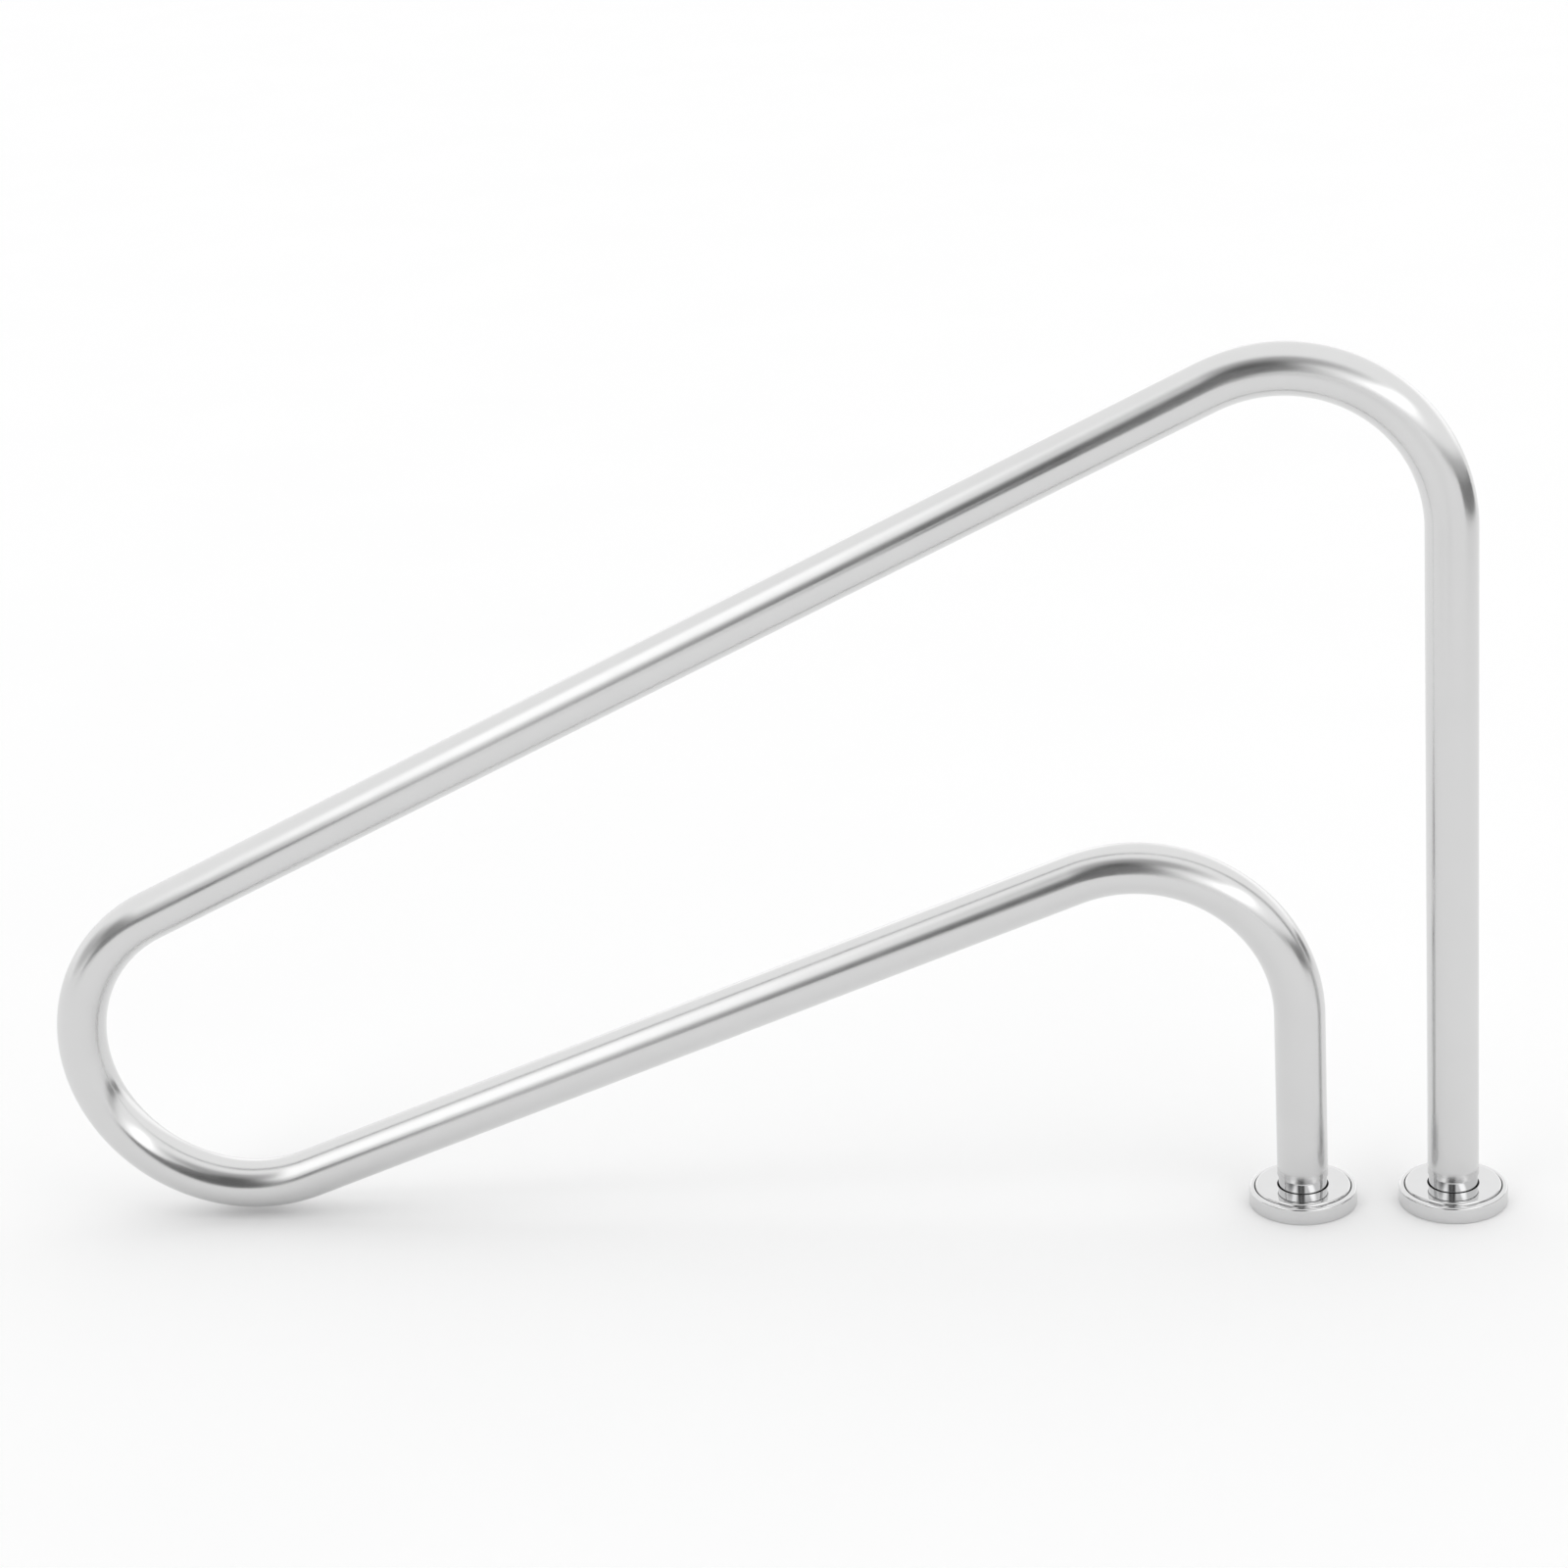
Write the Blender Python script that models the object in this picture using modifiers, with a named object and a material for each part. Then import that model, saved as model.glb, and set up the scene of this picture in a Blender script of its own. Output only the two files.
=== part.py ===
"""Pool handrail for Blender 4.5: one bent stainless tube on two deck-mounted feet, with lift-up covers.

Metres, +Z up. The origin is on the deck, on the axis of the tall leg. The rail lies in the XZ plane and
reaches out over the pool towards -X, and the lock screws are on its +Y side.
"""
import math

import bmesh
import bpy
from mathutils import Matrix, Vector

MM = 0.001
CLEARANCE = 0.3 * MM             # gap between pieces that touch on the real object

# rail tube
TUBE_RADIUS = 24.15 * MM
TUBE_WALL = 1.5 * MM
TUBE_SIDES = 24
SHORT_LEG_STRAIGHT = 196 * MM    # deck to the start of the short leg's bend
SHORT_LEG_BEND = 153 * MM        # bend radii are those of the tube's centre line
LOWER_SLOPE = math.radians(21.2)
LOWER_SLOPE_LENGTH = 824 * MM
NOSE_LOWER_BEND = 159 * MM
NOSE_UPPER_BEND = 150 * MM
UPPER_SLOPE = math.radians(25.2)
UPPER_SLOPE_LENGTH = 1142 * MM
TALL_LEG_BEND = 151 * MM
TUBE_END_HEIGHT = 29 * MM        # the tube stops above the cover, on the spigot's shoulder
LEG_BEND_STEPS = 12
NOSE_BEND_STEPS = 9

# cover that hides a foot
COVER_RADIUS = 51.5 * MM
COVER_HEIGHT = 18.5 * MM
COVER_WALL = 1.4 * MM
COVER_BORE_RADIUS = 25.3 * MM
COVER_FLAT_RADIUS = 42.0 * MM
COVER_SKIRT_HEIGHT = 13.4 * MM   # height of the upright side wall
COVER_GROOVE_RADIUS = 46.2 * MM
COVER_GROOVE_HEIGHT = 15.7 * MM
COVER_CREST_HEIGHT = 16.5 * MM   # highest point of the rounded rim outside the groove
# out and down from the edge of the flat top
COVER_STEP_ROUND = ((0.0, 0.0), (2.0 * MM, 0.5 * MM), (3.5 * MM, 1.7 * MM))
# share of the way across the rim, and down from its crest
COVER_RIM_ROUND = ((0.12, 0.1 * MM), (0.35, 0.0), (0.70, 0.7 * MM), (0.93, 1.9 * MM))
COVER_INNER_SKIRT = 12.5 * MM    # height of the side wall's inner face
COVER_STEPS = 32

# foot: gasket, plate and spigot
GASKET_RADIUS = 45.0 * MM
GASKET_THICKNESS = 2.0 * MM
PLATE_RADIUS = 44.0 * MM
PLATE_THICKNESS = 5.0 * MM
PLATE_CHAMFER = 0.6 * MM
PLATE_SIDES = 32
COLLAR_RADIUS = 23.1 * MM        # the polished part of the spigot, seen under the tube
SPIGOT_RADIUS = 22.1 * MM        # the part inside the tube
SPIGOT_BORE_RADIUS = 18.0 * MM
SPIGOT_TOP = 90.0 * MM
SPIGOT_CHAMFER = 1.0 * MM
WELD_LEG = 1.8 * MM              # weld fillet at the spigot's root
SPIGOT_STEPS = 24
SEAL_RADIUS = 24.2 * MM
SEAL_SECTION_RADIUS = 0.8 * MM
SEAL_HEIGHT = 16.5 * MM

# lock screws that hold the tube on a spigot
LOCK_SCREW_RADIUS = 3.0 * MM
LOCK_SCREW_LENGTH = 6.0 * MM
LOCK_SCREW_FACE = 23.6 * MM      # distance of its outer face from the leg's axis
LOCK_SCREW_HEIGHTS = (48 * MM, 72 * MM)
LOCK_SOCKET_RADIUS = 1.73 * MM
LOCK_SOCKET_DEPTH = 3.0 * MM

# deck anchors
ANCHOR_CIRCLE_RADIUS = 35.0 * MM
ANCHOR_COUNT = 4
ANCHOR_FIRST_ANGLE = math.radians(45)
PLATE_HOLE_RADIUS = 4.5 * MM     # passes the bolt
GASKET_HOLE_RADIUS = 6.5 * MM    # clears the sleeve
BOLT_RADIUS = 4.0 * MM
BOLT_HEAD_RADIUS = 7.5 * MM      # over the corners of the hexagon
BOLT_HEAD_HEIGHT = 5.3 * MM
BOLT_CROWN_HEIGHT = 0.8 * MM     # the chamfered top of the head
BOLT_CROWN_TOP_RADIUS = 6.3 * MM
BOLT_TIP = -44.0 * MM
WASHER_RADIUS = 8.0 * MM
WASHER_BORE_RADIUS = 4.35 * MM
WASHER_THICKNESS = 1.6 * MM
SLEEVE_RADIUS = 6.0 * MM
SLEEVE_TOP = -0.5 * MM
SLEEVE_LENGTH = 34.0 * MM
SLOT_WIDTH = 1.2 * MM
SLOT_LENGTH = 22.0 * MM
CONE_NUT_NARROW_RADIUS = 5.0 * MM
CONE_NUT_LENGTH = 12.0 * MM
CONE_NUT_TAPER = 8.4 * MM
FASTENER_SIDES = 12
WASHER_SIDES = 16
HEXAGON = 6

PLATE_BOTTOM = GASKET_THICKNESS + CLEARANCE
PLATE_TOP = PLATE_BOTTOM + PLATE_THICKNESS
WASHER_BOTTOM = PLATE_TOP + CLEARANCE
HEAD_BOTTOM = WASHER_BOTTOM + WASHER_THICKNESS + CLEARANCE
OVERCUT = 5.0 * MM               # how far a cutter runs past what it cuts
UNION_LAP = 0.2 * MM             # how far two joined shapes reach into each other
MERGE_DISTANCE = 0.05 * MM
SHARP_ANGLE = math.radians(35)
TURN_TO_Y = Matrix.Rotation(-math.pi / 2, 4, "X")  # lays a piece made about Z along +Y


def clear_scene():
    for obj in list(bpy.data.objects):
        bpy.data.objects.remove(obj, do_unlink=True)


def new_collection(name):
    collection = bpy.data.collections.new(name)
    bpy.context.scene.collection.children.link(collection)
    return collection


def new_material(name, colour, metallic, roughness):
    material = bpy.data.materials.new(name)
    material.use_nodes = True
    shader = material.node_tree.nodes["Principled BSDF"]
    shader.inputs["Base Color"].default_value = (*colour, 1)
    shader.inputs["Metallic"].default_value = metallic
    shader.inputs["Roughness"].default_value = roughness
    return material


def new_object(name, mesh, collection, material=None, parent=None):
    obj = bpy.data.objects.new(name, mesh)
    collection.objects.link(obj)
    if material and not mesh.materials:
        mesh.materials.append(material)
    obj.parent = parent
    return obj


def make_cutter(obj):
    obj.hide_render = True
    obj.display_type = "WIRE"


def add_boolean(obj, other, operation="DIFFERENCE"):
    modifier = obj.modifiers.new(operation.lower(), "BOOLEAN")
    modifier.operation = operation
    modifier.object = other


def shade_round(mesh):
    mesh.shade_smooth()
    mesh.set_sharp_from_angle(angle=SHARP_ANGLE)


def evaluated_mesh(obj, name):
    """A copy of the object's mesh with its modifiers applied."""
    depsgraph = bpy.context.evaluated_depsgraph_get()
    mesh = bpy.data.meshes.new_from_object(obj.evaluated_get(depsgraph))
    mesh.name = name
    shade_round(mesh)
    return mesh


def prism_mesh(name, radius, bottom, top, sides, top_radius=None, chamfer=0.0):
    """An upright prism or cone frustum about Z, with its rims chamfered if asked."""
    bm = bmesh.new()
    bmesh.ops.create_cone(
        bm, cap_ends=True, segments=sides, radius1=radius, depth=top - bottom,
        radius2=radius if top_radius is None else top_radius,
        matrix=Matrix.Translation((0, 0, (bottom + top) / 2)),
    )
    if chamfer:
        rims = [e for e in bm.edges if abs(e.verts[0].co.z - e.verts[1].co.z) < CLEARANCE]
        bmesh.ops.bevel(bm, geom=rims, offset=chamfer, segments=1, affect="EDGES")
    mesh = bpy.data.meshes.new(name)
    bm.to_mesh(mesh)
    bm.free()
    shade_round(mesh)
    return mesh


def turned_object(name, profile, steps, collection):
    """Spin a closed profile of (radius, height) points about Z. Its outer side runs from top to bottom."""
    mesh = bpy.data.meshes.new(name)
    count = len(profile)
    edges = [(i, (i + 1) % count) for i in range(count)]
    mesh.from_pydata([(r, 0, z) for r, z in profile], edges, [])
    obj = new_object(name, mesh, collection)
    screw = obj.modifiers.new("turn", "SCREW")
    screw.axis = "Z"
    screw.steps = steps
    screw.render_steps = steps
    screw.use_merge_vertices = True
    screw.merge_threshold = MERGE_DISTANCE
    return obj


def arc_profile(centre, radius, start, end, steps):
    """Points of an arc in the (radius, height) plane, angles in degrees, both ends included."""
    angles = [math.radians(start + (end - start) * i / steps) for i in range(steps + 1)]
    return [(centre[0] + radius * math.cos(a), centre[1] + radius * math.sin(a)) for a in angles]


class RailPath:
    """The tube's centre line, drawn as a pen that moves through straights and bends in the XZ plane."""

    def __init__(self, start, heading):
        self.points = [start]
        self.heading = heading

    def direction(self):
        return Vector((math.cos(self.heading), 0, math.sin(self.heading)))

    def straight(self, length):
        self.points.append(self.points[-1] + self.direction() * length)

    def bend(self, radius, angle, steps):
        """Turn by angle, which is positive to the left of the way the pen faces."""
        side = math.copysign(1, angle)
        to_centre = Vector((-math.sin(self.heading), 0, math.cos(self.heading))) * side
        centre = self.points[-1] + to_centre * radius
        start_heading = self.heading
        for step in range(1, steps + 1):
            self.heading = start_heading + angle * step / steps
            outward = Vector((math.sin(self.heading), 0, -math.cos(self.heading))) * side
            self.points.append(centre + outward * radius)


def rail_path():
    """The centre line from the short leg's lower end, round the nose, to the tall leg's lower end."""
    path = RailPath(Vector((0, 0, TUBE_END_HEIGHT)), math.pi / 2)
    path.straight(SHORT_LEG_STRAIGHT - TUBE_END_HEIGHT)
    path.bend(SHORT_LEG_BEND, math.pi / 2 + LOWER_SLOPE, LEG_BEND_STEPS)
    path.straight(LOWER_SLOPE_LENGTH)
    half_nose = (math.pi + LOWER_SLOPE - UPPER_SLOPE) / 2
    path.bend(NOSE_LOWER_BEND, -half_nose, NOSE_BEND_STEPS)
    path.bend(NOSE_UPPER_BEND, -half_nose, NOSE_BEND_STEPS)
    path.straight(UPPER_SLOPE_LENGTH)
    path.bend(TALL_LEG_BEND, -(math.pi / 2 + UPPER_SLOPE), LEG_BEND_STEPS)
    path.straight(path.points[-1].z - TUBE_END_HEIGHT)
    leg_spacing = path.points[-1].x
    points = [point - Vector((leg_spacing, 0, 0)) for point in path.points]
    return points, leg_spacing


def rail_tube(points, collection, material, lock_cutters):
    curve = bpy.data.curves.new("rail_centre_line", "CURVE")
    curve.dimensions = "3D"
    curve.bevel_depth = TUBE_RADIUS
    curve.bevel_resolution = (TUBE_SIDES - 4) // 2
    spline = curve.splines.new("POLY")
    spline.points.add(len(points) - 1)
    for spline_point, point in zip(spline.points, points):
        spline_point.co = (*point, 1)
    guide = bpy.data.objects.new("rail_centre_line", curve)
    collection.objects.link(guide)
    mesh = evaluated_mesh(guide, "rail_tube")
    bpy.data.objects.remove(guide)
    bm = bmesh.new()
    bm.from_mesh(mesh)
    bmesh.ops.recalc_face_normals(bm, faces=bm.faces)
    bm.to_mesh(mesh)
    bm.free()
    tube = new_object("rail_tube", mesh, collection, material)
    wall = tube.modifiers.new("wall", "SOLIDIFY")
    wall.thickness = TUBE_WALL
    wall.offset = -1
    wall.use_even_offset = True
    for cutter in lock_cutters:
        add_boolean(tube, cutter)


def lock_hole_cutter(name, collection, foot):
    """Two cylinders along +Y, through the tube's wall and the spigot's."""
    bm = bmesh.new()
    start = SPIGOT_BORE_RADIUS - OVERCUT
    end = TUBE_RADIUS + OVERCUT
    for height in LOCK_SCREW_HEIGHTS:
        place = Matrix.Translation((0, (start + end) / 2, height)) @ TURN_TO_Y
        bmesh.ops.create_cone(
            bm, cap_ends=True, segments=FASTENER_SIDES, depth=end - start, matrix=place,
            radius1=LOCK_SCREW_RADIUS + CLEARANCE, radius2=LOCK_SCREW_RADIUS + CLEARANCE,
        )
    mesh = bpy.data.meshes.new(name)
    bm.to_mesh(mesh)
    bm.free()
    cutter = new_object(name, mesh, collection, parent=foot)
    make_cutter(cutter)
    return cutter


def anchor_places():
    for number in range(ANCHOR_COUNT):
        angle = ANCHOR_FIRST_ANGLE + number * math.tau / ANCHOR_COUNT
        yield number + 1, Vector((math.cos(angle), math.sin(angle), 0)) * ANCHOR_CIRCLE_RADIUS


def anchor_hole_cutter(name, radius, collection, foot):
    bm = bmesh.new()
    for _, place in anchor_places():
        bmesh.ops.create_cone(
            bm, cap_ends=True, segments=FASTENER_SIDES, depth=PLATE_TOP + 2 * OVERCUT,
            radius1=radius, radius2=radius,
            matrix=Matrix.Translation(place + Vector((0, 0, PLATE_TOP / 2))),
        )
    mesh = bpy.data.meshes.new(name)
    bm.to_mesh(mesh)
    bm.free()
    cutter = new_object(name, mesh, collection, parent=foot)
    make_cutter(cutter)
    return cutter


def cover_profile():
    """The pressed shell: flat top, rounded step down to a groove, rounded rim, upright side wall."""
    step = [(COVER_FLAT_RADIUS + out, COVER_HEIGHT - down) for out, down in COVER_STEP_ROUND]
    groove = (COVER_GROOVE_RADIUS, COVER_GROOVE_HEIGHT)
    rim_width = COVER_RADIUS - COVER_GROOVE_RADIUS
    rim = [
        (COVER_GROOVE_RADIUS + share * rim_width, COVER_CREST_HEIGHT - down)
        for share, down in COVER_RIM_ROUND
    ]
    side = [(COVER_RADIUS, COVER_SKIRT_HEIGHT), (COVER_RADIUS, CLEARANCE)]
    inside_radius = COVER_RADIUS - COVER_WALL
    inside_height = COVER_HEIGHT - COVER_WALL
    inside = [
        (inside_radius, CLEARANCE),
        (inside_radius, COVER_INNER_SKIRT),
        (COVER_GROOVE_RADIUS, COVER_GROOVE_HEIGHT - COVER_WALL),
        (COVER_FLAT_RADIUS, inside_height),
        (COVER_BORE_RADIUS, inside_height),
    ]
    return [(COVER_BORE_RADIUS, COVER_HEIGHT), *step, groove, *rim, *side, *inside]


def spigot_profile():
    """A thick sleeve with a weld fillet at its root, a polished collar and a shoulder for the tube."""
    bottom = PLATE_TOP + CLEARANCE
    shoulder = TUBE_END_HEIGHT - CLEARANCE
    fillet_centre = (COLLAR_RADIUS + WELD_LEG, bottom + WELD_LEG)
    fillet = arc_profile(fillet_centre, WELD_LEG, 180, 270, 2)
    return [
        (SPIGOT_BORE_RADIUS, SPIGOT_TOP),
        (SPIGOT_RADIUS - SPIGOT_CHAMFER, SPIGOT_TOP),
        (SPIGOT_RADIUS, SPIGOT_TOP - SPIGOT_CHAMFER),
        (SPIGOT_RADIUS, shoulder),
        (COLLAR_RADIUS, shoulder),
        *fillet,
        (SPIGOT_BORE_RADIUS, bottom),
    ]


def seal_ring(name, collection, material, foot):
    section = arc_profile((SEAL_RADIUS, SEAL_HEIGHT), SEAL_SECTION_RADIUS, 180, -180, 6)[:-1]
    ring = turned_object(name, section, COVER_STEPS, collection)
    ring.data.materials.append(material)
    ring.parent = foot


def disc(name, radius, bottom, thickness, chamfer, collection, material, foot, cutter):
    mesh = prism_mesh(name, radius, bottom, bottom + thickness, PLATE_SIDES, chamfer=chamfer)
    obj = new_object(name, mesh, collection, material, foot)
    add_boolean(obj, cutter)


def blank(name, collection, *shape, **options):
    """A prism that a fastener is made from. It is removed once the fastener's mesh is made."""
    return new_object(name, prism_mesh(name, *shape, **options), collection)


def finished_mesh(name, body, *operands):
    """The body's mesh with its modifiers applied. The body and its operands are removed."""
    mesh = evaluated_mesh(body, name)
    for obj in (body, *operands):
        bpy.data.objects.remove(obj)
    return mesh


def lock_screw_mesh(collection):
    """A headless screw along +Y, its socket open to +Y, with its outer face at the origin."""
    body = blank("lock_screw_blank", collection, LOCK_SCREW_RADIUS, -LOCK_SCREW_LENGTH, 0, FASTENER_SIDES)
    socket = blank("lock_socket", collection, LOCK_SOCKET_RADIUS, -LOCK_SOCKET_DEPTH, OVERCUT, HEXAGON)
    add_boolean(body, socket)
    mesh = finished_mesh("lock_screw", body, socket)
    mesh.transform(TURN_TO_Y)
    return mesh


def anchor_bolt_mesh(collection):
    """A hexagon head with a chamfered top on a plain shank that runs down into the deck."""
    crown_bottom = HEAD_BOTTOM + BOLT_HEAD_HEIGHT - BOLT_CROWN_HEIGHT
    head = blank("bolt_head", collection, BOLT_HEAD_RADIUS, HEAD_BOTTOM, crown_bottom, HEXAGON)
    crown_top = crown_bottom + BOLT_CROWN_HEIGHT
    crown = blank(
        "bolt_crown", collection, BOLT_HEAD_RADIUS, crown_bottom - UNION_LAP, crown_top, HEXAGON,
        top_radius=BOLT_CROWN_TOP_RADIUS,
    )
    shank = blank("bolt_shank", collection, BOLT_RADIUS, BOLT_TIP, HEAD_BOTTOM + UNION_LAP, FASTENER_SIDES)
    add_boolean(head, crown, "UNION")
    add_boolean(head, shank, "UNION")
    return finished_mesh("anchor_bolt", head, crown, shank)


def anchor_washer_mesh(collection):
    top = WASHER_BOTTOM + WASHER_THICKNESS
    outer = [(WASHER_RADIUS, top), (WASHER_RADIUS, WASHER_BOTTOM)]
    profile = [(WASHER_BORE_RADIUS, top), *outer, (WASHER_BORE_RADIUS, WASHER_BOTTOM)]
    washer = turned_object("washer_blank", profile, WASHER_SIDES, collection)
    return finished_mesh("anchor_washer", washer)


def anchor_sleeve_mesh(collection):
    """The part of the anchor that spreads in the deck: a sleeve slotted from below."""
    bottom = SLEEVE_TOP - SLEEVE_LENGTH
    bore = BOLT_RADIUS + CLEARANCE
    profile = [(bore, SLEEVE_TOP), (SLEEVE_RADIUS, SLEEVE_TOP), (SLEEVE_RADIUS, bottom), (bore, bottom)]
    sleeve = turned_object("sleeve_blank", profile, FASTENER_SIDES, collection)
    slot_mesh = bpy.data.meshes.new("sleeve_slot")
    bm = bmesh.new()
    size = (3 * SLEEVE_RADIUS, SLOT_WIDTH, SLOT_LENGTH + OVERCUT)
    place = Matrix.Translation((0, 0, bottom - OVERCUT + size[2] / 2))
    bmesh.ops.create_cube(bm, size=1, matrix=place @ Matrix.Diagonal((*size, 1)))
    bm.to_mesh(slot_mesh)
    bm.free()
    slot = new_object("sleeve_slot", slot_mesh, collection)
    add_boolean(sleeve, slot)
    return finished_mesh("anchor_sleeve", sleeve, slot)


def anchor_cone_nut_mesh(collection):
    """The tapered nut that the bolt draws up into the sleeve."""
    top = SLEEVE_TOP - SLEEVE_LENGTH - CLEARANCE
    bottom = top - CONE_NUT_LENGTH
    bore = BOLT_RADIUS + CLEARANCE
    taper_end = top - CONE_NUT_TAPER
    outer = [(CONE_NUT_NARROW_RADIUS, top), (SLEEVE_RADIUS, taper_end), (SLEEVE_RADIUS, bottom)]
    profile = [(bore, top), *outer, (bore, bottom)]
    nut = turned_object("cone_nut_blank", profile, FASTENER_SIDES, collection)
    return finished_mesh("anchor_cone_nut", nut)


def anchors(leg, collection, meshes, foot):
    for number, place in anchor_places():
        for kind, mesh in meshes.items():
            piece = new_object(f"{leg}_{kind}_{number}", mesh, collection, parent=foot)
            piece.location = place


def leg_foot(leg, x, parts, cutters, materials, fastener_meshes, screw_mesh):
    """Everything at the bottom of one leg, on an empty at the leg's axis. Returns the lock-hole cutter."""
    foot = new_object(f"{leg}_foot", None, parts)
    foot.location = (x, 0, 0)
    lock_cutter = lock_hole_cutter(f"{leg}_lock_holes", cutters, foot)
    plate_cutter = anchor_hole_cutter(f"{leg}_plate_holes", PLATE_HOLE_RADIUS, cutters, foot)
    gasket_cutter = anchor_hole_cutter(f"{leg}_gasket_holes", GASKET_HOLE_RADIUS, cutters, foot)

    cover = turned_object(f"{leg}_cover", cover_profile(), COVER_STEPS, parts)
    cover.data.materials.append(materials["mirror_steel"])
    cover.parent = foot

    spigot = turned_object(f"{leg}_spigot", spigot_profile(), SPIGOT_STEPS, parts)
    spigot.data.materials.append(materials["mirror_steel"])
    spigot.parent = foot
    add_boolean(spigot, lock_cutter)

    seal_ring(f"{leg}_seal_ring", parts, materials["rubber"], foot)
    disc(f"{leg}_base_plate", PLATE_RADIUS, PLATE_BOTTOM, PLATE_THICKNESS, PLATE_CHAMFER,
         parts, materials["plain_steel"], foot, plate_cutter)
    disc(f"{leg}_base_gasket", GASKET_RADIUS, 0, GASKET_THICKNESS, 0,
         parts, materials["rubber"], foot, gasket_cutter)
    for number, height in enumerate(LOCK_SCREW_HEIGHTS, start=1):
        screw = new_object(f"{leg}_lock_screw_{number}", screw_mesh, parts, parent=foot)
        screw.location = (0, LOCK_SCREW_FACE, height)
    anchors(leg, parts, fastener_meshes, foot)
    return lock_cutter


def main():
    clear_scene()
    parts = new_collection("pool_handrail")
    cutters = new_collection("cutters")
    materials = {
        "satin_steel": new_material("satin_steel", (0.80, 0.80, 0.80), 1, 0.30),
        "mirror_steel": new_material("mirror_steel", (0.88, 0.88, 0.88), 1, 0.05),
        "plain_steel": new_material("plain_steel", (0.62, 0.62, 0.61), 1, 0.40),
        "zinc_steel": new_material("zinc_steel", (0.66, 0.67, 0.68), 1, 0.32),
        "rubber": new_material("rubber", (0.03, 0.03, 0.03), 0, 0.65),
    }
    fastener_meshes = {
        "anchor_bolt": anchor_bolt_mesh(cutters),
        "anchor_washer": anchor_washer_mesh(cutters),
        "anchor_sleeve": anchor_sleeve_mesh(cutters),
        "anchor_cone_nut": anchor_cone_nut_mesh(cutters),
    }
    screw_mesh = lock_screw_mesh(cutters)
    for mesh in (*fastener_meshes.values(), screw_mesh):
        mesh.materials.append(materials["zinc_steel"])

    points, leg_spacing = rail_path()
    lock_cutters = [
        leg_foot(leg, x, parts, cutters, materials, fastener_meshes, screw_mesh)
        for leg, x in (("tall_leg", 0.0), ("short_leg", -leg_spacing))
    ]
    rail_tube(points, parts, materials["satin_steel"], lock_cutters)


main()
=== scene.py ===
"""Pool handrail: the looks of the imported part, in its own frame. Metres, +Z up, the deck at z 0.

The tube, covers, spigots, seal rings, base plates, gaskets and washers are built again at a finer
resolution. Bolts, lock screws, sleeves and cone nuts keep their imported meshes.
"""

import math
from collections import namedtuple

import bmesh
import bpy
from mathutils import Matrix, Vector


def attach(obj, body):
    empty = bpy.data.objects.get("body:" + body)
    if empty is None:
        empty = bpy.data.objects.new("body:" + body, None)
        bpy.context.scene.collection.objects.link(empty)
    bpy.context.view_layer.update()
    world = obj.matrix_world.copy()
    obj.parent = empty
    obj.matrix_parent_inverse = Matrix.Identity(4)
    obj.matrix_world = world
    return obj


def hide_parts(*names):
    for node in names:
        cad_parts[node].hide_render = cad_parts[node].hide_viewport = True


MM = 0.001
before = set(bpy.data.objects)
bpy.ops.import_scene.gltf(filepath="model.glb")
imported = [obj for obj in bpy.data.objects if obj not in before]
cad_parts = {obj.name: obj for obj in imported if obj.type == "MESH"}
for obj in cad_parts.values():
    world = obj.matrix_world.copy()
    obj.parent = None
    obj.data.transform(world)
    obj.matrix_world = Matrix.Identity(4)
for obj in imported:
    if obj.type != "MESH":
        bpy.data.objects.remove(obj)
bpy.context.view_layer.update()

# ---------------------------------------------------------------- sizes
TUBE_RADIUS = 24.15 * MM
TUBE_WALL = 1.5 * MM
TUBE_SIDES = 96
TUBE_END_HEIGHT = 29 * MM
TUBE_END_ROUND = 0.4 * MM

SHORT_LEG_STRAIGHT = 196 * MM
SHORT_LEG_BEND = 153 * MM
LOWER_SLOPE = math.radians(21.2)
LOWER_SLOPE_LENGTH = 824 * MM
NOSE_LOWER_BEND = 159 * MM
NOSE_UPPER_BEND = 150 * MM
UPPER_SLOPE = math.radians(25.2)
UPPER_SLOPE_LENGTH = 1142 * MM
TALL_LEG_BEND = 151 * MM
BEND_STEP = math.radians(2.2)
STRAIGHT_STEP = 60 * MM

TURNED_SIDES = 160
DISC_SIDES = 128
SEAL_SIDES = 96
SEAL_SECTION_SIDES = 20
SMALL_SIDES = 48
CORNER_STEPS = 7                 # points on a rounded corner of a turned outline
EDGE_STEPS = 4                   # the same on a small piece's edge
LONGEST_ROUND = 0.49             # the most of a side that one rounded corner takes up
SHARP_ANGLE = math.radians(32)   # an edge that bends more than this is shaded crisp
GRAIN_PER_METRE = 20
ON_AXIS = 1e-6
MERGE_DISTANCE = 0.01 * MM
LOCK_SCREW_HEIGHTS = (48 * MM, 72 * MM)
LOCK_HOLE_RADIUS = 3.3 * MM
SPIGOT_WALL_MIDDLE = 20 * MM
TUBE_CUT_DEPTH = 8 * MM
SPIGOT_CUT_DEPTH = 12 * MM
ANCHOR_CIRCLE_RADIUS = 35 * MM
ANCHOR_COUNT = 4
ANCHOR_FIRST_ANGLE = math.radians(45)
PLATE_HOLE_RADIUS = 4.5 * MM
GASKET_HOLE_RADIUS = 6.5 * MM
ANCHOR_CUT_DEPTH = 40 * MM
# the cover's groove, which a painted shade darkens
GROOVE_RADIUS = 46.1 * MM
GROOVE_HALF_WIDTH = 0.45 * MM
GROOVE_TOP = 15.7 * MM
GROOVE_DEPTH = 1 * MM
TURN_TO_Y = Matrix.Rotation(math.pi / 2, 4, "X")


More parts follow.
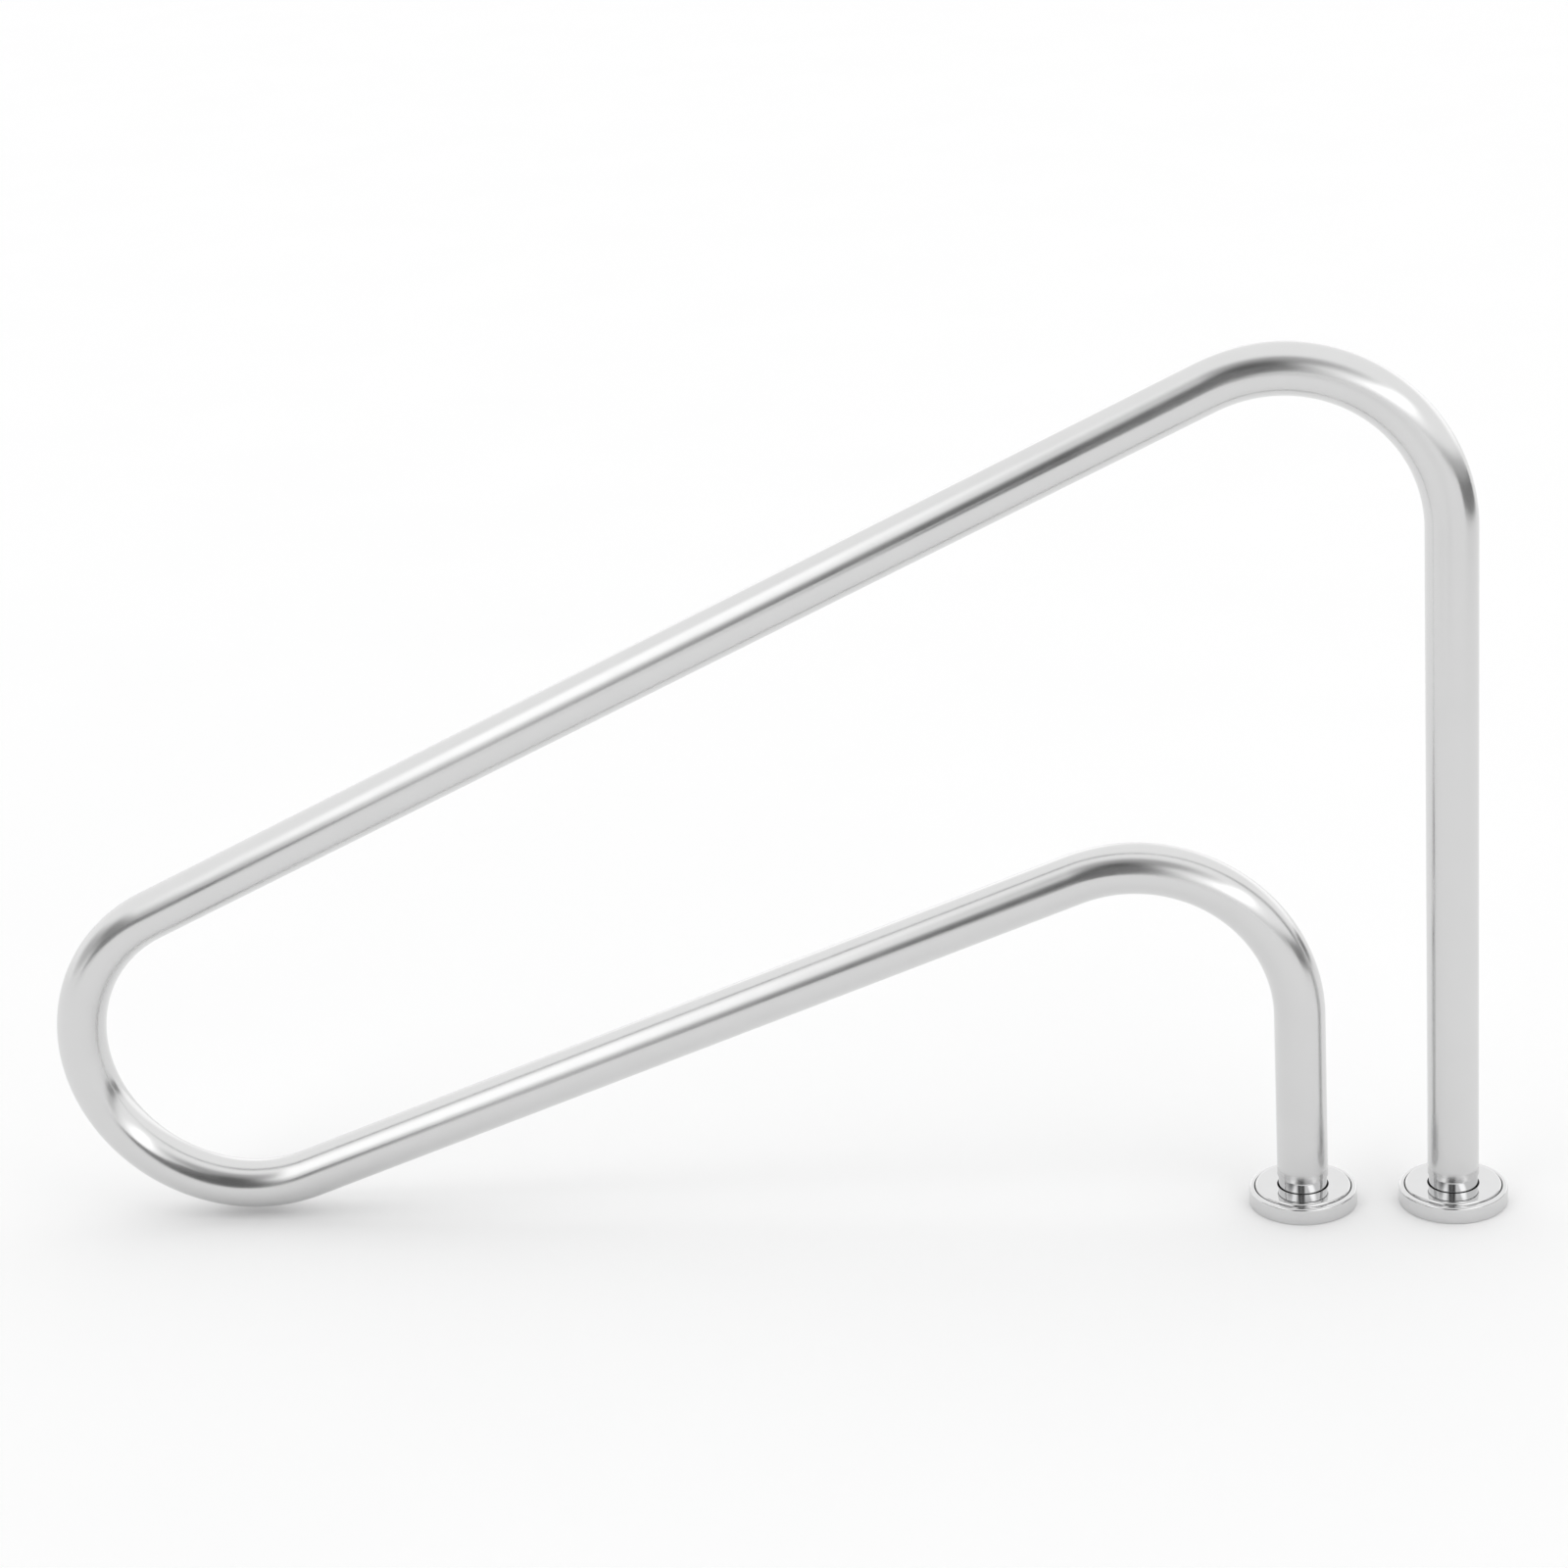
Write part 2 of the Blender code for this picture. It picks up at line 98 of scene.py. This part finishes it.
# ---------------------------------------------------------------- shader nodes
class Shader:
    """Short calls that add nodes to one tree and join them up."""

    def __init__(self, tree):
        self.tree = tree

    def node(self, kind, inputs=(), **settings):
        made = self.tree.nodes.new(kind)
        for name, value in settings.items():
            setattr(made, name, value)
        for place, value in dict(inputs).items():
            if isinstance(value, bpy.types.NodeSocket):
                self.tree.links.new(value, made.inputs[place])
            else:
                made.inputs[place].default_value = value
        return made

    def math(self, operation, *values):
        return self.node("ShaderNodeMath", enumerate(values), operation=operation).outputs[0]

    def vector(self, operation, *values):
        made = self.node("ShaderNodeVectorMath", enumerate(values), operation=operation)
        return made.outputs["Value" if operation == "DOT_PRODUCT" else "Vector"]

    def noise(self, place, scale, detail=3.0):
        settings = {"Vector": place, "Scale": scale, "Detail": detail}
        return self.node("ShaderNodeTexNoise", settings).outputs["Fac"]

    def ramp(self, value, low, high, start=0.3, end=0.7):
        """Value between start and end, spread from low to high."""
        settings = {0: value, 1: start, 2: end, 3: low, 4: high}
        return self.node("ShaderNodeMapRange", settings).outputs[0]


def new_surface(name):
    """A material, its shader calls and its Principled node."""
    material = bpy.data.materials.new(name)
    material.use_nodes = True
    shader = Shader(material.node_tree)
    return material, shader, material.node_tree.nodes["Principled BSDF"]


def tint(shader, value, dark, light):
    """A colour that runs from dark to light as value runs from 0 to 1."""
    made = shader.node("ShaderNodeMix", data_type="RGBA")
    shader.tree.links.new(value, made.inputs[0])
    made.inputs[6].default_value = (*dark, 1)
    made.inputs[7].default_value = (*light, 1)
    return made.outputs[2]


CLOUD_SHARE, GRAIN_SHARE = 0.6, 0.4   # of the wear
SPECK_FINENESS = 14                   # against the clouds
SPECK_HEIGHT = 0.25                   # against the grain
# painted shade: the dark colour laid into the cover's groove
GROOVE_SHADE_COLOUR = (.05, .05, .05, 1)


def metal(name, dark, light, roughness, grain_scale, grain_depth, wear_scale=60.0):
    """Metal with a fine grain and specks, faint cloudy wear, and a painted shade where the piece marks
    one.

    roughness is (lowest, highest); grain_scale stretches the piece's own grain coordinates.
    """
    material, shader, surface = new_surface(name)
    grain_place = shader.node("ShaderNodeAttribute", attribute_name="grain").outputs["Vector"]
    position = shader.node("ShaderNodeTexCoord").outputs["Object"]
    stretched = shader.vector("MULTIPLY", grain_place, grain_scale)
    grain = shader.noise(stretched, 1.0, 4.0)
    cloud = shader.noise(position, wear_scale, 3.0)
    speck = shader.noise(position, wear_scale * SPECK_FINENESS, 2.0)
    wear = shader.math("ADD", shader.math("MULTIPLY", cloud, CLOUD_SHARE),
                       shader.math("MULTIPLY", grain, GRAIN_SHARE))
    surface.inputs["Metallic"].default_value = 1.0
    # painted shade: darkens the colour where the piece marks its groove
    groove_shade = shader.node("ShaderNodeAttribute", attribute_name="groove_shade").outputs["Fac"]
    unshaded = tint(shader, wear, dark, light)
    groove_shaded = shader.node("ShaderNodeMix", {0: groove_shade, 6: unshaded}, data_type="RGBA")
    groove_shaded.inputs[7].default_value = GROOVE_SHADE_COLOUR
    shader.tree.links.new(groove_shaded.outputs[2], surface.inputs["Base Color"])
    shader.tree.links.new(shader.ramp(wear, *roughness), surface.inputs["Roughness"])
    height = shader.math("ADD", grain, shader.math("MULTIPLY", speck, SPECK_HEIGHT))
    bump = shader.node("ShaderNodeBump", {"Strength": 1.0, "Distance": grain_depth, "Height": height})
    shader.tree.links.new(bump.outputs[0], surface.inputs["Normal"])
    return material


def rubber(name):
    """Black rubber with fine pores."""
    material, shader, surface = new_surface(name)
    position = shader.node("ShaderNodeTexCoord").outputs["Object"]
    cloud = shader.noise(position, 90.0, 4.0)
    pores = shader.noise(position, 1400.0, 2.0)
    shader.tree.links.new(tint(shader, cloud, (.018, .018, .019), (.040, .040, .041)),
                          surface.inputs["Base Color"])
    shader.tree.links.new(shader.ramp(cloud, 0.55, 0.75), surface.inputs["Roughness"])
    bump = shader.node("ShaderNodeBump", {"Strength": 1.0, "Distance": 0.06 * MM, "Height": pores})
    shader.tree.links.new(bump.outputs[0], surface.inputs["Normal"])
    return material


def floor_surface():
    """Matt white, with faint clouds in it."""
    material, shader, surface = new_surface("studio_floor")
    position = shader.node("ShaderNodeTexCoord").outputs["Object"]
    cloud = shader.noise(position, 3.0, 2.0)
    shader.tree.links.new(tint(shader, cloud, (.97, .97, .97), (.985, .985, .985)),
                          surface.inputs["Base Color"])
    surface.inputs["Roughness"].default_value = 1.0
    surface.inputs["Specular IOR Level"].default_value = 0.0
    return material


MATERIALS = {
    "satin_tube": metal("satin_tube", (.64, .64, .64), (.70, .70, .70), (.155, .23),
                        (34.0, 34.0, 5.0), 0.004 * MM, 26.0),
    "polished_cover": metal("polished_cover", (.66, .66, .665), (.72, .72, .72), (.02, .05),
                            (5.0, 5.0, 900.0), 0.0012 * MM),
    "polished_collar": metal("polished_collar", (.60, .605, .61), (.68, .68, .68), (.02, .05),
                             (5.0, 5.0, 900.0), 0.0015 * MM),
    "plain_plate": metal("plain_plate", (.45, .45, .45), (.58, .58, .57), (.30, .48),
                         (9.0, 9.0, 500.0), 0.02 * MM),
    "zinc_fastener": metal("zinc_fastener", (.50, .51, .53), (.68, .69, .70), (.22, .40),
                           (120.0, 120.0, 120.0), 0.02 * MM, 240.0),
    "black_rubber": rubber("black_rubber"),
}


# ---------------------------------------------------------------- meshes
def shade(bm, mesh):
    """Writes bm to the mesh, smooth but for its crisp edges, and frees it."""
    for edge in bm.edges:
        edge.smooth = len(edge.link_faces) == 2 and edge.calc_face_angle(0) < SHARP_ANGLE
    for face in bm.faces:
        face.smooth = True
        face.material_index = 0
    bm.to_mesh(mesh)
    bm.free()


def finished_object(name, bm, slot, body="rail"):
    """A smooth-shaded object with crisp edges, riding on its body in its finish."""
    mesh = bpy.data.meshes.new(name)
    bmesh.ops.recalc_face_normals(bm, faces=bm.faces)
    shade(bm, mesh)
    mesh.materials.append(MATERIALS[slot])
    obj = bpy.data.objects.new(name, mesh)
    bpy.context.scene.collection.objects.link(obj)
    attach(obj, body)
    return obj


def rounded(corners, steps=CORNER_STEPS):
    """A closed outline (radius, height) with each corner (radius, height, round) filleted."""
    outline = []
    for i, (x, y, size) in enumerate(corners):
        here = Vector((x, y))
        before = Vector(corners[i - 1][:2]) - here
        after = Vector(corners[(i + 1) % len(corners)][:2]) - here
        if not size:
            outline.append(here)
            continue
        half = before.angle(after) / 2
        longest = LONGEST_ROUND * min(before.length, after.length)
        reach = min(size / math.tan(half), longest)
        start, end = here + before.normalized() * reach, here + after.normalized() * reach
        for step in range(steps + 1):
            t = step / steps
            outline.append(start * (1 - t) ** 2 + here * 2 * t * (1 - t) + end * t ** 2)
    return outline


def turned(outline, sides):
    """A bmesh of the outline turned about +Z. The grain runs round it."""
    bm = bmesh.new()
    rings = []
    for side in range(sides):
        angle = side * math.tau / sides
        rings.append([bm.verts.new((p[0] * math.cos(angle), p[0] * math.sin(angle), p[1]))
                      for p in outline])
    count = len(outline)
    for side in range(sides):
        one, two = rings[side], rings[(side + 1) % sides]
        for i in range(count):
            bm.faces.new((one[i], two[i], two[(i + 1) % count], one[(i + 1) % count]))
    write_turned_grain(bm)
    return bm


def write_turned_grain(bm):
    """Direction about the axis, then how far out and up: stretched noise gives turning marks."""
    layer = bm.verts.layers.float_vector.new("grain")
    for vert in bm.verts:
        out = Vector((vert.co.x, vert.co.y))
        direction = out.normalized() if out.length > ON_AXIS else Vector((1, 0))
        vert[layer] = (direction.x, direction.y, (out.length - vert.co.z) * GRAIN_PER_METRE)


def move(obj, x):
    """Shifts the mesh along X, to its leg."""
    obj.data.transform(Matrix.Translation((x, 0, 0)))


def cut(obj, cutter_mesh):
    """Subtracts the cutter's mesh from obj's and keeps the result."""
    cutter = bpy.data.objects.new("cutter", cutter_mesh)
    bpy.context.scene.collection.objects.link(cutter)
    modifier = obj.modifiers.new("cut", "BOOLEAN")
    modifier.operation = "DIFFERENCE"
    modifier.solver = "EXACT"
    modifier.object = cutter
    bpy.context.view_layer.update()
    evaluated = obj.evaluated_get(bpy.context.evaluated_depsgraph_get())
    mesh = bpy.data.meshes.new_from_object(evaluated)
    obj.modifiers.clear()
    old, obj.data = obj.data, mesh
    name = old.name
    bpy.data.meshes.remove(old)
    mesh.name = name
    bpy.data.objects.remove(cutter)
    bm = bmesh.new()
    bm.from_mesh(mesh)
    shade(bm, mesh)


def cylinders(places, radius, depth):
    """One mesh of cylinders, each at its matrix."""
    bm = bmesh.new()
    for place in places:
        bmesh.ops.create_cone(bm, cap_ends=True, segments=SMALL_SIDES, depth=depth, matrix=place,
                              radius1=radius, radius2=radius)
    mesh = bpy.data.meshes.new("cutter")
    bm.to_mesh(mesh)
    bm.free()
    return mesh


def lock_holes(leg_places, middle, depth):
    """Cutters for the lock screws' cross holes: each leg's x, and the y of their middle."""
    places = [Matrix.Translation((x, middle, z)) @ TURN_TO_Y
              for x in leg_places for z in LOCK_SCREW_HEIGHTS]
    return cylinders(places, LOCK_HOLE_RADIUS, depth)


# ---------------------------------------------------------------- the tube
class Walk:
    """Stations along the rail: (place, heading, distance), heading turned in the XZ plane."""

    def __init__(self):
        self.place, self.heading, self.distance = Vector((0, 0)), math.pi / 2, 0.0
        self.stations = []

    def add(self):
        self.stations.append((self.place.copy(), self.heading, self.distance))

    def straight(self, length, step=STRAIGHT_STEP):
        steps = max(1, round(length / step))
        for _ in range(steps):
            self.add()
            self.place += Vector((math.cos(self.heading), math.sin(self.heading))) * length / steps
            self.distance += length / steps

    def bend(self, radius, angle):
        steps = max(1, round(abs(angle) / BEND_STEP))
        side = math.copysign(1, angle)
        centre = self.place + radius * side * Vector((-math.sin(self.heading), math.cos(self.heading)))
        for _ in range(steps):
            self.add()
            self.heading += angle / steps
            out = Vector((-math.sin(self.heading), math.cos(self.heading)))
            self.place = centre - radius * side * out
            self.distance += radius * abs(angle) / steps


def rail_walk():
    """Up the short leg, down the lower slope, round the nose, up the upper slope, down the tall leg."""
    walk = Walk()
    walk.straight(SHORT_LEG_STRAIGHT)
    walk.bend(SHORT_LEG_BEND, math.pi / 2 + LOWER_SLOPE)
    walk.straight(LOWER_SLOPE_LENGTH)
    half_nose = (math.pi + LOWER_SLOPE - UPPER_SLOPE) / 2
    walk.bend(NOSE_LOWER_BEND, -half_nose)
    walk.bend(NOSE_UPPER_BEND, -half_nose)
    walk.straight(UPPER_SLOPE_LENGTH)
    walk.bend(TALL_LEG_BEND, -(math.pi / 2 + UPPER_SLOPE))
    walk.straight(walk.place.y)
    walk.add()
    return walk


def trim(stations):
    """The same walk cut off at the tube's two end heights. Both legs run straight up there."""
    first, last = stations[0], stations[-1]
    start = (Vector((first[0].x, TUBE_END_HEIGHT)), first[1], first[2] + TUBE_END_HEIGHT)
    end = (Vector((last[0].x, TUBE_END_HEIGHT)), last[1], last[2] - TUBE_END_HEIGHT)
    return [start, *stations[1:-1], end]


def slid(station, by):
    """The station moved along its own heading."""
    place, heading, distance = station
    return (place + Vector((math.cos(heading), math.sin(heading))) * by, heading, distance + by)


def tube_sections(stations):
    """(station, radius) round the wall's lengthwise section: out along the outside, back inside."""
    edge = TUBE_END_ROUND
    start, end = stations[0], stations[-1]
    inner = TUBE_RADIUS - TUBE_WALL
    ends = ((0, -edge), (0.12 * edge, -0.45 * edge), (0.45 * edge, -0.12 * edge), (edge, 0))
    sections = [(slid(start, along), TUBE_RADIUS + out) for along, out in ends]
    sections += [(station, TUBE_RADIUS) for station in stations[1:-1]]
    sections += [(slid(end, -along), TUBE_RADIUS + out) for along, out in reversed(ends)]
    sections += [(slid(end, -along), inner - out) for along, out in ends]
    sections += [(station, inner) for station in reversed(stations[1:-1])]
    sections += [(slid(start, along), inner - out) for along, out in reversed(ends)]
    return sections


def rail_tube():
    """The bent tube, with its wall and the lock screws' holes. Returns the legs' spacing."""
    walk = rail_walk()
    shift = walk.place.x
    sections = tube_sections(trim(walk.stations))
    bm = bmesh.new()
    layer = bm.verts.layers.float_vector.new("grain")
    rings = []
    for (place, heading, distance), radius in sections:
        centre = Vector((place.x - shift, 0, place.y))
        across = Vector((-math.sin(heading), 0, math.cos(heading)))
        ring = []
        for side in range(TUBE_SIDES):
            angle = side * math.tau / TUBE_SIDES
            offset = across * math.cos(angle) + Vector((0, math.sin(angle), 0))
            vert = bm.verts.new(centre + offset * radius)
            vert[layer] = (math.cos(angle), math.sin(angle), distance)
            ring.append(vert)
        rings.append(ring)
    for i, ring in enumerate(rings):
        following = rings[(i + 1) % len(rings)]
        for side in range(TUBE_SIDES):
            other = (side + 1) % TUBE_SIDES
            bm.faces.new((ring[side], ring[other], following[other], following[side]))
    tube = finished_object("satin_rail_tube", bm, "satin_tube")
    cut(tube, lock_holes((0, -shift), TUBE_RADIUS, TUBE_CUT_DEPTH))
    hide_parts("rail_tube")
    return shift


# ---------------------------------------------------------------- the feet
def cover(leg, x):
    """A pressed shell: flat top, rounded step to a groove, rounded rim, upright side."""
    corners = [  # radius, height and rounding in mm: the bore, the top, the side, then the inside
        (25.3, 17.1, 0.2), (25.3, 17.8, 0.2), (24.5, 17.9, 0.2), (24.5, 18.5, 0.3),
        (45.0, 18.5, 2.6), (45.9, 15.2, 0.1), (46.3, 15.2, 0.1), (46.6, 16.6, 0.6),
        (51.5, 16.3, 3.0), (51.5, 0.3, 0.4), (50.1, 0.3, 0.4), (50.1, 15.0, 2.0),
        (47.6, 15.0, 0.5), (46.8, 14.0, 0.4), (44.9, 14.0, 0.5), (44.0, 17.1, 1.6),
    ]
    outline = [p * MM for p in rounded(corners)]
    piece = finished_object(f"{leg}_polished_cover", turned(outline, TURNED_SIDES),
                            "polished_cover", f"{leg}_cover")
    # painted shade: the groove's points are marked to be darkened as if in shadow
    groove_shade = piece.data.attributes.new("groove_shade", "FLOAT", "POINT")
    for vert, value in zip(piece.data.vertices, groove_shade.data):
        radius, depth = math.hypot(vert.co.x, vert.co.y), GROOVE_TOP - vert.co.z
        in_groove = abs(radius - GROOVE_RADIUS) < GROOVE_HALF_WIDTH and 0 < depth < GROOVE_DEPTH
        value.value = 1.0 if in_groove else 0.0
    move(piece, x)
    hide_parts(f"{leg}_cover")


def spigot(leg, x):
    """Collar that the tube stands on, with the spigot above it and a weld fillet below."""
    corners = [  # radius, height and rounding in mm
        (18, 7.6, 0.3), (25.0, 7.6, 0.4), (23.1, 10.0, 2.5), (23.1, 28.7, 0.35), (22.1, 28.7, 0.2),
        (22.1, 90, 1.0), (18, 90, 0.5),
    ]
    outline = [p * MM for p in rounded(corners)]
    piece = finished_object(f"{leg}_turned_spigot", turned(outline, TURNED_SIDES), "polished_collar")
    cut(piece, lock_holes((0,), SPIGOT_WALL_MIDDLE, SPIGOT_CUT_DEPTH))
    move(piece, x)
    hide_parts(f"{leg}_spigot")


def seal_ring(leg, x):
    """A rubber ring in the gap between the cover's bore and the collar."""
    radius, height, thick = 24.2, 16.5, 0.8  # of its round section: middle and radius, in mm
    outline = []
    for i in range(SEAL_SECTION_SIDES):
        angle = i * math.tau / SEAL_SECTION_SIDES
        point = Vector((radius + thick * math.cos(angle), height + thick * math.sin(angle)))
        outline.append(point * MM)
    bm = turned(outline, SEAL_SIDES)
    piece = finished_object(f"{leg}_moulded_seal_ring", bm, "black_rubber")
    move(piece, x)
    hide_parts(f"{leg}_seal_ring")


def anchor_places():
    """Each anchor's number and its place round the leg's axis."""
    for number in range(ANCHOR_COUNT):
        angle = ANCHOR_FIRST_ANGLE + number * math.tau / ANCHOR_COUNT
        yield number + 1, Vector((math.cos(angle), math.sin(angle), 0)) * ANCHOR_CIRCLE_RADIUS


def drilled_disc(leg, x, name, slot, shape, hole_radius, node):
    """A disc with the anchor holes in it. Its shape is radius, bottom, top and edge, in mm."""
    radius, bottom, top, edge = shape
    corners = [(0.001, bottom, 0), (radius, bottom, edge), (radius, top, edge), (0.001, top, 0)]
    outline = [p * MM for p in rounded(corners, EDGE_STEPS)]
    bm = turned(outline, DISC_SIDES)
    bmesh.ops.remove_doubles(bm, verts=bm.verts, dist=MERGE_DISTANCE)
    piece = finished_object(f"{leg}_{name}", bm, slot)
    places = [Matrix.Translation(place) for _, place in anchor_places()]
    cut(piece, cylinders(places, hole_radius, ANCHOR_CUT_DEPTH))
    move(piece, x)
    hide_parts(f"{leg}_{node}")


def washer(leg, x, number, place):
    """A flat washer under one anchor bolt's head."""
    corners = [(4.35, 7.6, 0.2), (8, 7.6, 0.35), (8, 9.2, 0.35), (4.35, 9.2, 0.2)]
    outline = [p * MM for p in rounded(corners, EDGE_STEPS)]
    piece = finished_object(f"{leg}_pressed_washer_{number}", turned(outline, SMALL_SIDES),
                            "zinc_fastener")
    piece.data.transform(Matrix.Translation(place + Vector((x, 0, 0))))
    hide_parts(f"{leg}_anchor_washer_{number}")


# ---------------------------------------------------------------- the studio
FLOOR_REACH = 80
STUDIO_LEVEL = 1.10
BRIGHTEST_LEVEL = 3.0

# Soft cards in the surroundings. Azimuth and elevation of the middle, half width, half height and
# tilt are in degrees, with azimuth 0 at -Y and 90 at +X. Level 1 is plain white, and softness is
# a share of the card.
Card = namedtuple("Card", "name azimuth elevation half_width half_height tilt level softness")
CARDS = (
    Card("bright_back", 150, 6, 28, 15, 0, 1.35, 0.4),
    Card("bright_behind_left", -166, 10, 10, 14, 0, 1.40, 0.5),
    Card("dim_top_front", -4, 50, 30, 16, 0, 0.50, 0.5),
    Card("dim_left", -76, 12, 20, 11, -15, 0.62, 0.5),
    Card("dark_left", -47, 10, 27, 9, -38, 0.30, 0.5),
    Card("bright_left", -50, 37, 21, 7, -42, 1.60, 0.4),
    Card("bright_right", 38, 23, 24, 6.5, 30, 2.0, 0.5),
    Card("dim_right", 76, 3, 48, 6, 0, 0.52, 0.4),
    Card("dark_front", -9, 20, 15, 30, 0, 0.12, 0.35),
)

# Dark flags that stand on the floor: two ends of the foot (x, y), height and level. The camera
# doesn't see them and they cast no shadow, so that they show in the metal.
FLAGS = (
    ("front_flag", (-1.15, -3.6), (-0.25, -3.6), 2.6, 0.18),
    ("side_flag", (3.4, -2.2), (3.4, 2.4), 0.75, 0.22),
    ("left_flag", (-4.1, -2.3), (-2.7, -3.4), 0.8, 0.25),
)

CAMERA_PLACE = (-0.192, -3.035, 1.577)
CAMERA_DOWN = math.radians(20.33)
CAMERA_YAW = math.radians(-7.97)
CAMERA_ROLL = math.radians(-4.19)
LENS, SENSOR_WIDTH = 80, 36
FAR_CLIP = 500


def staged_quad(name, corners, material):
    """One flat piece of the studio."""
    mesh = bpy.data.meshes.new(name)
    mesh.from_pydata(corners, [], [(0, 1, 2, 3)])
    mesh.materials.append(material)
    obj = bpy.data.objects.new(name, mesh)
    bpy.context.scene.collection.objects.link(obj)
    return obj


def floor():
    far = FLOOR_REACH
    corners = [(-far, -far, 0), (far, -far, 0), (far, far, 0), (-far, far, 0)]
    staged_quad("studio_floor", corners, floor_surface())


def flags():
    """Dark upright boards for the metal to reflect."""
    for name, (x0, y0), (x1, y1), height, level in FLAGS:
        material, _, surface = new_surface(name)
        surface.inputs["Base Color"].default_value = (level, level, level, 1)
        surface.inputs["Roughness"].default_value = 1.0
        corners = [(x0, y0, 0), (x1, y1, 0), (x1, y1, height), (x0, y0, height)]
        flag = staged_quad(name, corners, material)
        flag.visible_camera = False
        flag.visible_shadow = False


def card_share(shader, direction, card):
    """How much of the card, from 0 to 1, shows in a direction."""
    turn = (Matrix.Rotation(math.radians(card.azimuth), 3, "Z")
            @ Matrix.Rotation(math.radians(-card.elevation), 3, "X"))
    middle = turn @ Vector((0, -1, 0))
    lean = Matrix.Rotation(math.radians(card.tilt), 3, middle)
    across, up = lean @ turn @ Vector((1, 0, 0)), lean @ turn @ Vector((0, 0, 1))
    squares = []
    for axis, half in ((across, card.half_width), (up, card.half_height)):
        along = shader.vector("DOT_PRODUCT", direction, tuple(axis))
        part = shader.math("DIVIDE", along, math.sin(math.radians(half)))
        squares.append(shader.math("MULTIPLY", part, part))
    reach = shader.math("SQRT", shader.math("ADD", *squares))
    settings = {0: reach, 1: 1 + card.softness, 2: 1 - card.softness, 3: 0, 4: 1}
    inside = shader.node("ShaderNodeMapRange", settings, interpolation_type="SMOOTHSTEP").outputs[0]
    ahead = shader.vector("DOT_PRODUCT", direction, tuple(middle))
    return shader.math("MULTIPLY", inside, shader.math("GREATER_THAN", ahead, 0.0))


def studio():
    """A bright surround with soft cards in it. Seen directly, it is plain white."""
    world = bpy.data.worlds.new("studio")
    bpy.context.scene.world = world
    world.use_nodes = True
    tree = world.node_tree
    shader = Shader(tree)
    direction = shader.node("ShaderNodeTexCoord").outputs["Generated"]
    level = STUDIO_LEVEL
    for card in CARDS:
        change = shader.math("SUBTRACT", card.level, level)
        share = card_share(shader, direction, card)
        level = shader.math("ADD", level, shader.math("MULTIPLY", share, change))
    seen = shader.node("ShaderNodeLightPath").outputs["Is Camera Ray"]
    unseen = shader.math("SUBTRACT", 1.0, seen)
    ceiling = shader.math("ADD", 1.0, shader.math("MULTIPLY", unseen, BRIGHTEST_LEVEL - 1))
    level = shader.math("MINIMUM", shader.math("MAXIMUM", level, seen), ceiling)
    background = tree.nodes["Background"]
    tree.links.new(level, background.inputs["Strength"])
    background.inputs["Color"].default_value = (1, 1, 1, 1)


def camera():
    """About 3 m in front of the rail and well above it, looking down at it, slightly rolled."""
    data = bpy.data.cameras.new("camera")
    data.lens, data.sensor_width = LENS, SENSOR_WIDTH
    data.clip_end = FAR_CLIP
    obj = bpy.data.objects.new("camera", data)
    bpy.context.scene.collection.objects.link(obj)
    level = Vector((math.sin(CAMERA_YAW), math.cos(CAMERA_YAW), 0))
    forward = level * math.cos(CAMERA_DOWN) - Vector((0, 0, math.sin(CAMERA_DOWN)))
    level_right = Vector((math.cos(CAMERA_YAW), -math.sin(CAMERA_YAW), 0))
    level_up = level_right.cross(forward)
    right = level_right * math.cos(CAMERA_ROLL) + level_up * math.sin(CAMERA_ROLL)
    up = level_up * math.cos(CAMERA_ROLL) - level_right * math.sin(CAMERA_ROLL)
    turn = Matrix((right, up, -forward)).transposed().to_4x4()
    obj.matrix_world = Matrix.Translation(CAMERA_PLACE) @ turn
    bpy.context.scene.camera = obj


def keep_node(name, slot):
    """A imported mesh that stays, in its finish."""
    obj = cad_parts[name]
    obj.data.materials.clear()
    obj.data.materials.append(MATERIALS[slot])


def main():
    leg_spacing = rail_tube()
    for leg, x in (("tall_leg", 0.0), ("short_leg", -leg_spacing)):
        cover(leg, x)
        spigot(leg, x)
        seal_ring(leg, x)
        drilled_disc(leg, x, "drilled_base_plate", "plain_plate", (44, 2.3, 7.3, 0.7),
                     PLATE_HOLE_RADIUS, "base_plate")
        drilled_disc(leg, x, "punched_base_gasket", "black_rubber", (45, 0, 2, 0.4),
                     GASKET_HOLE_RADIUS, "base_gasket")
        for number, place in anchor_places():
            washer(leg, x, number, place)
        for kind in ("anchor_bolt", "anchor_sleeve", "anchor_cone_nut"):
            for number in range(1, ANCHOR_COUNT + 1):
                keep_node(f"{leg}_{kind}_{number}", "zinc_fastener")
        for number in (1, 2):
            keep_node(f"{leg}_lock_screw_{number}", "zinc_fastener")
    floor()
    flags()
    studio()
    camera()
    bpy.context.scene.view_settings.view_transform = "Standard"


main()
